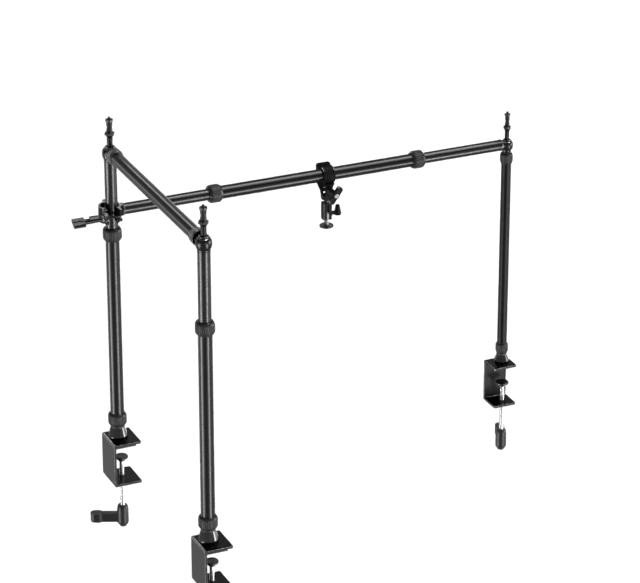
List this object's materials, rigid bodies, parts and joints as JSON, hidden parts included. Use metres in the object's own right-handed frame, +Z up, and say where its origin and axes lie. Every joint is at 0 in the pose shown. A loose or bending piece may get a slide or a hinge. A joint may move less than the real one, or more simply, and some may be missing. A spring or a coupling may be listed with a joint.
{
  "type": "overhead camera rig",
  "caption": "Table-clamped overhead rig: telescopic columns and crossbar, a side bar, light spigots and a sliding camera clamp with a tilt head.",
  "frame": {"origin": "on the axis of the rear left column, at the underside of its clamp's rubber pad, where it meets the tabletop", "axes": "+X along the crossbar to the right column, +Y to the back, +Z up; the front left column stands at -Y"},
  "size_m": [1.2996, 0.7606, 1.1769],
  "materials": {
    "black_anodised": "satin black anodised",
    "black_cast_alloy": "black powder coated casting",
    "black_coated_steel": "semi-matt black coating",
    "black_plastic": "moulded satin black",
    "black_rubber": "matt black",
    "bright_chrome": "bright plated",
    "dark_steel": "blackened steel"
  },
  "bodies": {
    "rear_left_base": {"rear_left_clamp_frame": "black_coated_steel", "rear_left_jaw_pad": "black_rubber", "rear_left_cone_base": "black_anodised"},
    "rear_left_presser": {"rear_left_pressure_plate": "dark_steel"},
    "rear_left_screw": {"rear_left_clamp_screw": "bright_chrome", "rear_left_clamp_lever": "black_plastic"},
    "rear_left_base_ring": {"rear_left_base_collar": "black_plastic"},
    "rear_left_outer": {"rear_left_outer_tube": "black_anodised"},
    "rear_left_lock_ring": {"rear_left_lock_collar": "black_plastic"},
    "upper_frame": {"rear_left_inner_tube": "black_anodised", "rear_left_head": "black_anodised", "rear_left_spigot": "black_anodised", "side_bar_tube": "black_anodised", "front_left_head": "black_anodised", "front_left_spigot": "black_anodised", "front_left_inner_tube": "black_anodised"},
    "rear_side_ring": {"side_bar_rear_ring": "black_plastic"},
    "front_side_ring": {"side_bar_front_ring": "black_plastic"},
    "front_left_outer": {"front_left_outer_tube": "black_anodised"},
    "front_left_lock_ring": {"front_left_lock_collar": "black_plastic"},
    "front_left_base": {"front_left_clamp_frame": "black_coated_steel", "front_left_jaw_pad": "black_rubber", "front_left_cone_base": "black_anodised"},
    "front_left_presser": {"front_left_pressure_plate": "dark_steel"},
    "front_left_screw": {"front_left_clamp_screw": "bright_chrome", "front_left_clamp_lever": "black_plastic"},
    "front_left_base_ring": {"front_left_base_collar": "black_plastic"},
    "crossbar_carrier": {"column_clamp_body": "black_cast_alloy", "column_clamp_pin": "dark_steel", "crossbar_left_tube": "black_anodised"},
    "column_jaw": {"column_clamp_jaw": "black_cast_alloy"},
    "swing_screw": {"column_clamp_screw": "dark_steel"},
    "thumb_handle": {"column_clamp_handle": "black_plastic"},
    "middle_bar": {"crossbar_middle_tube": "black_anodised"},
    "left_bar_ring": {"crossbar_left_collar": "black_plastic"},
    "right_bar_ring": {"crossbar_right_collar": "black_plastic"},
    "right_frame": {"crossbar_right_tube": "black_anodised", "right_head": "black_anodised", "right_spigot": "black_anodised", "right_inner_tube": "black_anodised"},
    "right_outer": {"right_outer_tube": "black_anodised"},
    "right_lock_ring": {"right_lock_collar": "black_plastic"},
    "right_base": {"right_clamp_frame": "black_coated_steel", "right_jaw_pad": "black_rubber", "right_cone_base": "black_anodised"},
    "right_presser": {"right_pressure_plate": "dark_steel"},
    "right_screw": {"right_clamp_screw": "bright_chrome", "right_clamp_lever": "black_plastic"},
    "right_base_ring": {"right_base_collar": "black_plastic"},
    "camera_clamp": {"camera_clamp_front_jaw": "black_plastic", "camera_clamp_pin": "dark_steel"},
    "camera_rear_jaw": {"camera_clamp_rear_jaw": "black_plastic"},
    "camera_knob": {"camera_clamp_wing_knob": "black_plastic", "camera_clamp_button": "bright_chrome"},
    "camera_bolt": {"camera_clamp_bolt": "dark_steel"},
    "tilt_fork": {"tilt_head_fork": "black_cast_alloy"},
    "tilt_plate": {"tilt_head_blade": "bright_chrome", "camera_plate": "black_anodised", "camera_screw": "bright_chrome"},
    "tilt_lever": {"tilt_head_lever": "black_plastic"}
  },
  "joints": [
    {"name": "rear_left_press", "type": "slide", "parent": "rear_left_base", "child": "rear_left_presser", "axis": [0, 0, 1], "range_m": [-0.0401, 0.0401]},
    {"name": "rear_left_screw_turn", "type": "hinge", "parent": "rear_left_presser", "child": "rear_left_screw", "pos_m": [0.008, 0, -0.15], "axis": [0, 0, 1], "range_deg": [-4800, 4800]},
    {"name": "rear_left_base_ring_turn", "type": "hinge", "parent": "rear_left_base", "child": "rear_left_base_ring", "pos_m": [0, 0, 0.065], "axis": [0, 0, 1], "range_deg": [0, 120]},
    {"name": "rear_left_lock_ring_turn", "type": "hinge", "parent": "rear_left_outer", "child": "rear_left_lock_ring", "pos_m": [0, 0, 0.5973], "axis": [0, 0, 1], "range_deg": [0, 120]},
    {"name": "rear_left_swivel", "type": "hinge", "parent": "rear_left_base", "child": "rear_left_outer", "pos_m": [0, 0, 0.06], "axis": [0, 0, 1], "range_deg": [-45, 45]},
    {"name": "left_height", "type": "slide", "parent": "rear_left_outer", "child": "upper_frame", "axis": [0, 0, 1], "range_m": [-0.1, 0.2]},
    {"name": "rear_side_ring_turn", "type": "hinge", "parent": "upper_frame", "child": "rear_side_ring", "pos_m": [0, -0.0386, 0.8223], "axis": [0, 1, 0], "range_deg": [0, 120]},
    {"name": "front_side_ring_turn", "type": "hinge", "parent": "upper_frame", "child": "front_side_ring", "pos_m": [0, -0.5934, 0.8223], "axis": [0, 1, 0], "range_deg": [0, 120]},
    {"name": "front_left_lock_ring_turn", "type": "hinge", "parent": "front_left_outer", "child": "front_left_lock_ring", "pos_m": [0, -0.632, 0.5973], "axis": [0, 0, 1], "range_deg": [0, 120]},
    {"name": "front_left_height", "type": "slide", "parent": "upper_frame", "child": "front_left_outer", "axis": [0, 0, 1], "range_m": [-0.2, 0.1]},
    {"name": "front_left_press", "type": "slide", "parent": "front_left_base", "child": "front_left_presser", "axis": [0, 0, 1], "range_m": [-0.0401, 0.0401]},
    {"name": "front_left_screw_turn", "type": "hinge", "parent": "front_left_presser", "child": "front_left_screw", "pos_m": [0.008, -0.632, -0.15], "axis": [0, 0, 1], "range_deg": [-4800, 4800]},
    {"name": "front_left_base_ring_turn", "type": "hinge", "parent": "front_left_base", "child": "front_left_base_ring", "pos_m": [0, -0.632, 0.065], "axis": [0, 0, 1], "range_deg": [0, 120]},
    {"name": "front_left_swivel", "type": "hinge", "parent": "front_left_outer", "child": "front_left_base", "pos_m": [0, -0.632, 0.06], "axis": [0, 0, 1], "range_deg": [-90, 90]},
    {"name": "crossbar_height", "type": "slide", "parent": "rear_left_outer", "child": "crossbar_carrier", "axis": [0, 0, 1], "range_m": [0, 0.09]},
    {"name": "column_jaw_open", "type": "hinge", "parent": "crossbar_carrier", "child": "column_jaw", "pos_m": [-0.0055, 0.0366, 0.6603], "axis": [0, 0, -1], "range_deg": [0, 12]},
    {"name": "swing_screw_swing", "type": "hinge", "parent": "crossbar_carrier", "child": "swing_screw", "pos_m": [0.0112, -0.031, 0.6553], "axis": [0, 0, 1], "range_deg": [0, 90]},
    {"name": "thumb_handle_turn", "type": "hinge", "parent": "swing_screw", "child": "thumb_handle", "pos_m": [-0.06, -0.031, 0.6553], "axis": [1, 0, 0], "range_deg": [0, 720]},
    {"name": "crossbar_left_reach", "type": "slide", "parent": "crossbar_carrier", "child": "middle_bar", "axis": [1, 0, 0], "range_m": [-0.12, 0.1]},
    {"name": "left_bar_ring_turn", "type": "hinge", "parent": "middle_bar", "child": "left_bar_ring", "pos_m": [0.285, 0, 0.6603], "axis": [1, 0, 0], "range_deg": [0, 120]},
    {"name": "right_bar_ring_turn", "type": "hinge", "parent": "middle_bar", "child": "right_bar_ring", "pos_m": [0.87, 0, 0.6603], "axis": [1, 0, 0], "range_deg": [0, 120]},
    {"name": "crossbar_right_reach", "type": "slide", "parent": "middle_bar", "child": "right_frame", "axis": [1, 0, 0], "range_m": [-0.12, 0.1]},
    {"name": "right_lock_ring_turn", "type": "hinge", "parent": "right_outer", "child": "right_lock_ring", "pos_m": [1.14, 0, 0.6218], "axis": [0, 0, 1], "range_deg": [0, 120]},
    {"name": "right_height", "type": "slide", "parent": "right_frame", "child": "right_outer", "axis": [0, 0, 1], "range_m": [-0.09, 0]},
    {"name": "right_press", "type": "slide", "parent": "right_base", "child": "right_presser", "axis": [0, 0, 1], "range_m": [-0.0401, 0.0401]},
    {"name": "right_screw_turn", "type": "hinge", "parent": "right_presser", "child": "right_screw", "pos_m": [1.14, -0.008, -0.15], "axis": [0, 0, 1], "range_deg": [-4800, 4800]},
    {"name": "right_base_ring_turn", "type": "hinge", "parent": "right_base", "child": "right_base_ring", "pos_m": [1.14, 0, 0.065], "axis": [0, 0, 1], "range_deg": [0, 120]},
    {"name": "right_swivel", "type": "hinge", "parent": "right_outer", "child": "right_base", "pos_m": [1.14, 0, 0.05], "axis": [0, 0, 1], "range_deg": [-90, 90]},
    {"name": "camera_slide", "type": "slide", "parent": "middle_bar", "child": "camera_clamp", "axis": [1, 0, 0], "range_m": [-0.27, 0.2]},
    {"name": "camera_knob_turn", "type": "hinge", "parent": "camera_clamp", "child": "camera_knob", "pos_m": [0.606, -0.05, 0.6228], "axis": [0, 1, 0], "range_deg": [0, 4896]},
    {"name": "camera_jaw_open", "type": "hinge", "parent": "camera_clamp", "child": "camera_rear_jaw", "pos_m": [0.606, 0, 0.5993], "axis": [-1, 0, 0], "range_deg": [0, 20.1]},
    {"name": "camera_bolt_slide", "type": "slide", "parent": "camera_clamp", "child": "camera_bolt", "axis": [0, 1, 0], "range_m": [0, 0.01365]},
    {"name": "camera_pan", "type": "hinge", "parent": "camera_clamp", "child": "tilt_fork", "pos_m": [0.606, 0, 0.5813], "axis": [0, 0, 1], "range_deg": [-180, 180]},
    {"name": "camera_tilt", "type": "hinge", "parent": "tilt_fork", "child": "tilt_plate", "pos_m": [0.606, 0, 0.5473], "axis": [1, 0, 0], "range_deg": [-90, 90]},
    {"name": "tilt_lever_turn", "type": "hinge", "parent": "tilt_fork", "child": "tilt_lever", "pos_m": [0.606, 0, 0.5473], "axis": [1, 0, 0], "range_deg": [-40, 90]}
  ],
  "couplings": [
    {"joint": "rear_left_press", "follows": "rear_left_screw_turn", "m_per_rad": 0.00047746},
    {"joint": "front_left_height", "follows": "left_height", "ratio": -1},
    {"joint": "front_left_press", "follows": "front_left_screw_turn", "m_per_rad": 0.00047746},
    {"joint": "swing_screw_swing", "follows": "column_jaw_open", "ratio": 7.5},
    {"joint": "right_height", "follows": "crossbar_height", "ratio": -1},
    {"joint": "right_press", "follows": "right_screw_turn", "m_per_rad": 0.00047746},
    {"joint": "camera_jaw_open", "follows": "camera_knob_turn", "ratio": 0.004085},
    {"joint": "camera_bolt_slide", "follows": "camera_knob_turn", "m_per_rad": 0.00015915}
  ]
}
